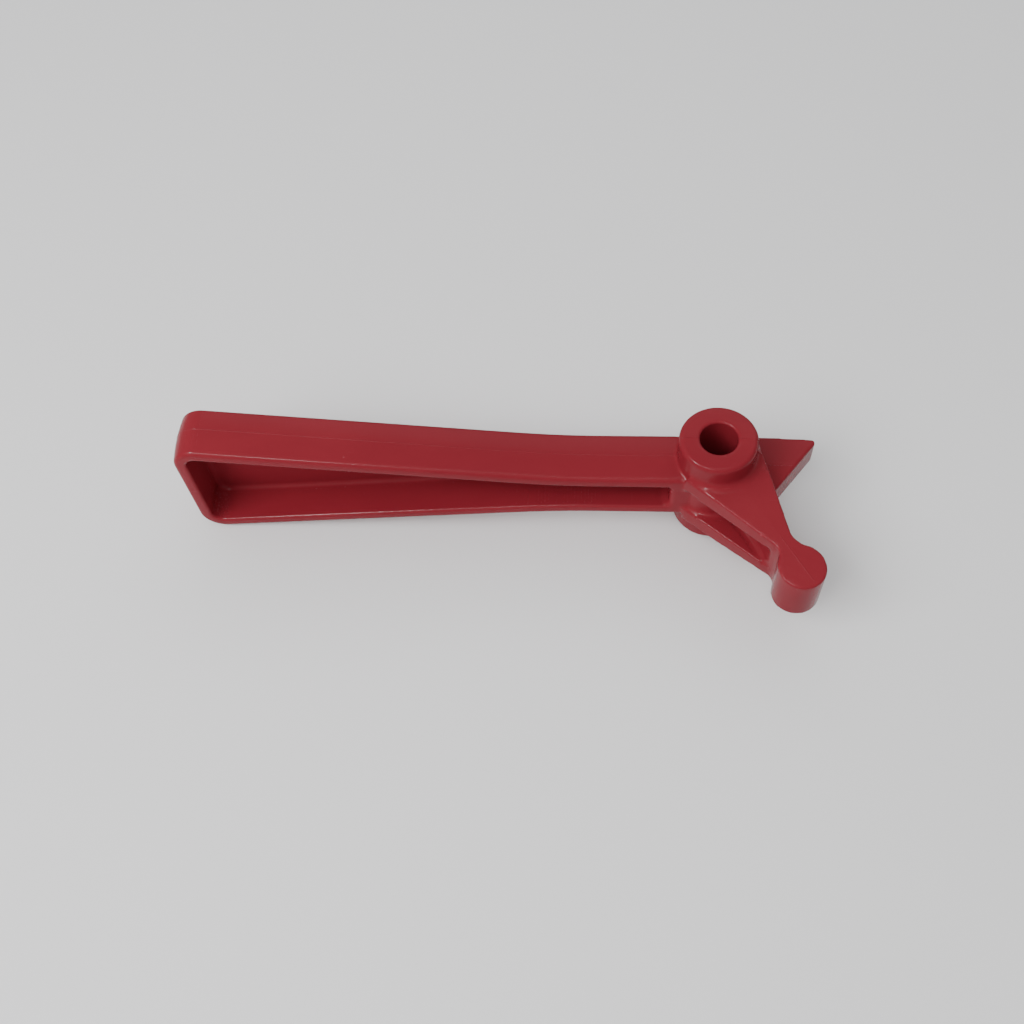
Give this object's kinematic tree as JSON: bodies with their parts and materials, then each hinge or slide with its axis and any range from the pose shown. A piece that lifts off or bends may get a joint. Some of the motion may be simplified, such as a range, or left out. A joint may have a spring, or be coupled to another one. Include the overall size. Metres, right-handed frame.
{
  "type": "frame grip lever",
  "caption": "Moulded lever of a bee-frame grip: handle with a closed rim and a thin web, bored pivot boss, jaw arm with a rounded bead and a wedge foot that lies on the frame's top bar.",
  "frame": {"origin": "middle of the pivot bore, on its axis", "axes": "+Z along the pivot bore, -X along the handle towards its end bar, jaw arm towards +X and -Y"},
  "size_m": [0.199, 0.0577, 0.0444],
  "materials": {
    "red_plastic": "injection-moulded red plastic, semi-gloss, with fine flow marks and light scuffs"
  },
  "bodies": {
    "root": {"handle_leg_upper": "red_plastic", "handle_leg_lower": "red_plastic", "handle_end_bar": "red_plastic", "handle_web": "red_plastic", "handle_root": "red_plastic", "pivot_boss": "red_plastic", "arm_plate_upper": "red_plastic", "arm_plate_lower": "red_plastic", "arm_web": "red_plastic", "jaw_bead": "red_plastic", "foot_wedge": "red_plastic"}
  },
  "joints": []
}
